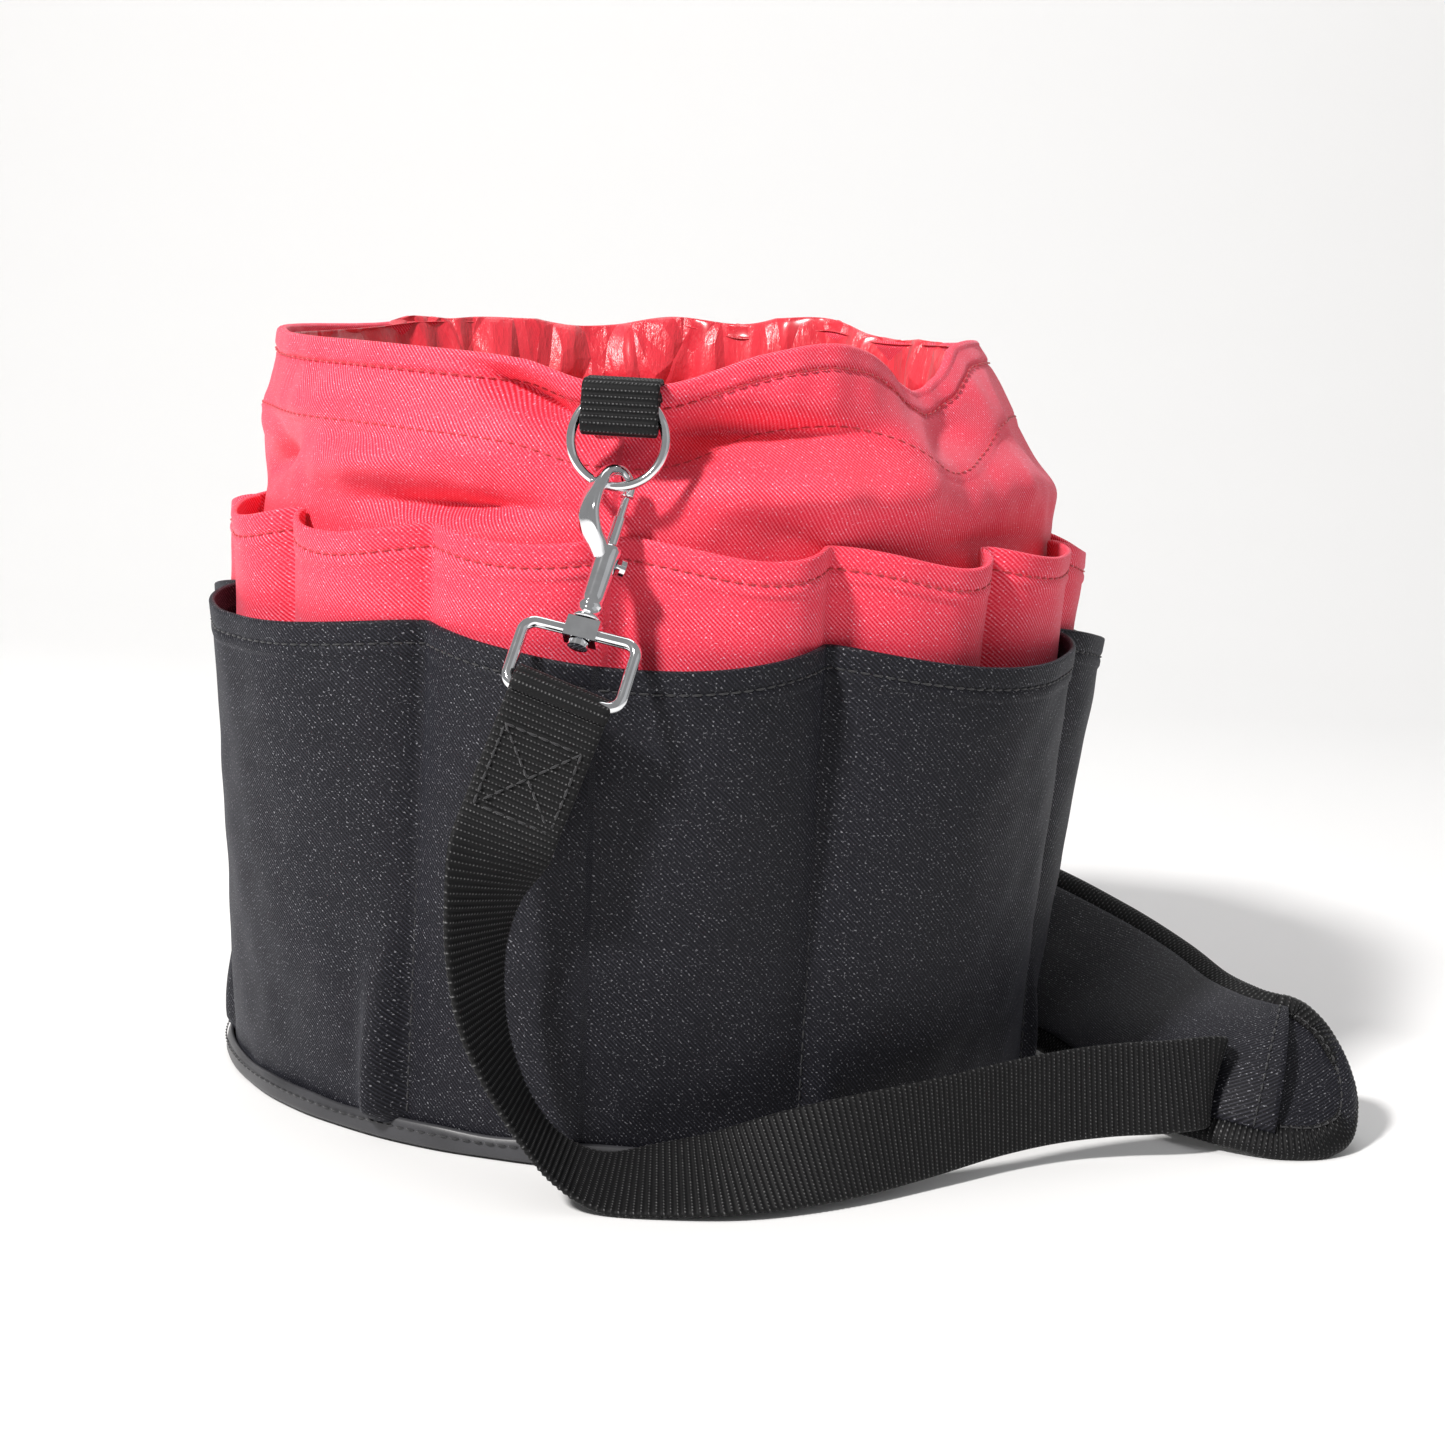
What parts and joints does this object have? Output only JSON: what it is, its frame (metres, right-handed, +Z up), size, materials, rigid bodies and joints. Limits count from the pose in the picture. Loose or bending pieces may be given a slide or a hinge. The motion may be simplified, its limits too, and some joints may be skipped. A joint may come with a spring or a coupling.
{
  "type": "garden tool bag",
  "caption": "Round fabric garden tool bag with two rings of outside pockets, a lined drum and a padded shoulder strap on swivel bolt snap hooks.",
  "frame": {"origin": "centre of the flat underside of the base", "axes": "+Z up out of the mouth; the front ring tab faces -Y and the rear one +Y; +X to the right seen from the front"},
  "size_m": [0.3349, 0.3331, 0.2047],
  "materials": {
    "red_fabric": "woven polyester",
    "black_fabric": "woven polyester",
    "lining_red": "shiny coated taffeta",
    "webbing_black": "ribbed webbing",
    "hook_chrome": "polished",
    "spring_steel": "plain",
    "binding_vinyl": "satin vinyl",
    "base_stiffener": "plain",
    "pad_foam_core": "soft foam",
    "glide_plastic": "moulded"
  },
  "bodies": {
    "root": {"base_panel": "black_fabric", "base_board": "base_stiffener", "lining_floor": "lining_red", "base_binding": "binding_vinyl", "body_wall": "red_fabric", "lining_wall": "lining_red", "hem_band": "red_fabric", "red_pocket_strip": "red_fabric", "black_pocket_strip": "black_fabric", "floor_strap": "webbing_black", "fold_strap": "webbing_black", "tunnel_strap": "webbing_black", "rear_strap": "webbing_black", "rear_strap_tail": "webbing_black", "front_strap_drop": "webbing_black", "pad_base": "black_fabric", "pad_foam": "pad_foam_core", "pad_sleeve": "black_fabric", "pad_binding": "webbing_black", "front_tab": "webbing_black", "rear_tab": "webbing_black"},
    "front_ring": {"front_tab_loop": "webbing_black", "front_ring": "hook_chrome"},
    "front_eye": {"front_swivel_eye": "hook_chrome", "front_strap_end": "webbing_black"},
    "front_hook": {"front_hook_body": "hook_chrome", "front_swivel_rivet": "hook_chrome", "front_hook_spring": "spring_steel"},
    "front_bolt": {"front_hook_bolt": "hook_chrome", "front_thumb_knob": "hook_chrome"},
    "rear_ring": {"rear_tab_loop": "webbing_black", "rear_ring": "hook_chrome"},
    "rear_eye": {"rear_swivel_eye": "hook_chrome", "rear_strap_end": "webbing_black"},
    "rear_hook": {"rear_hook_body": "hook_chrome", "rear_swivel_rivet": "hook_chrome", "rear_hook_spring": "spring_steel"},
    "rear_bolt": {"rear_hook_bolt": "hook_chrome", "rear_thumb_knob": "hook_chrome"},
    "tri_glide": {"tri_glide": "glide_plastic"}
  },
  "joints": [
    {"name": "front_strap_swing", "type": "hinge", "parent": "root", "child": "front_eye", "pos_m": [0, -0.111, 0.2005], "axis": [-1, 0, 0], "range_deg": [0, 35]},
    {"name": "front_ring_swing", "type": "hinge", "parent": "root", "child": "front_ring", "pos_m": [0, -0.111, 0.2005], "axis": [-1, 0, 0], "range_deg": [0, 35]},
    {"name": "front_swivel", "type": "hinge", "parent": "front_eye", "child": "front_hook", "pos_m": [-0.00367, -0.13322, 0.13939], "axis": [0.1908, 0.4908, 0.8501], "range_deg": [0, 40]},
    {"name": "front_bolt_slide", "type": "slide", "parent": "front_hook", "child": "front_bolt", "axis": [-0.1908, -0.4908, -0.8501], "range_m": [0, 0.007], "stiffness_N_per_m": 150, "springref_m": -0.004},
    {"name": "rear_strap_swing", "type": "hinge", "parent": "root", "child": "rear_eye", "pos_m": [0, 0.111, 0.2005], "axis": [1, 0, 0], "range_deg": [0, 35]},
    {"name": "rear_ring_swing", "type": "hinge", "parent": "root", "child": "rear_ring", "pos_m": [0, 0.111, 0.2005], "axis": [1, 0, 0], "range_deg": [0, 35]},
    {"name": "rear_swivel", "type": "hinge", "parent": "rear_eye", "child": "rear_hook", "pos_m": [-0.00774, 0.13288, 0.13998], "axis": [0.1392, -0.4951, 0.8576], "range_deg": [0, 40]},
    {"name": "rear_bolt_slide", "type": "slide", "parent": "rear_hook", "child": "rear_bolt", "axis": [-0.1392, 0.4951, -0.8576], "range_m": [0, 0.007], "stiffness_N_per_m": 150, "springref_m": -0.004},
    {"name": "glide_slide", "type": "slide", "parent": "root", "child": "tri_glide", "axis": [0.9806, -0.1961, 0], "range_m": [-0.01, 0.01]}
  ],
  "couplings": [
    {"joint": "front_ring_swing", "follows": "front_strap_swing", "ratio": 1},
    {"joint": "rear_ring_swing", "follows": "rear_strap_swing", "ratio": 1}
  ]
}
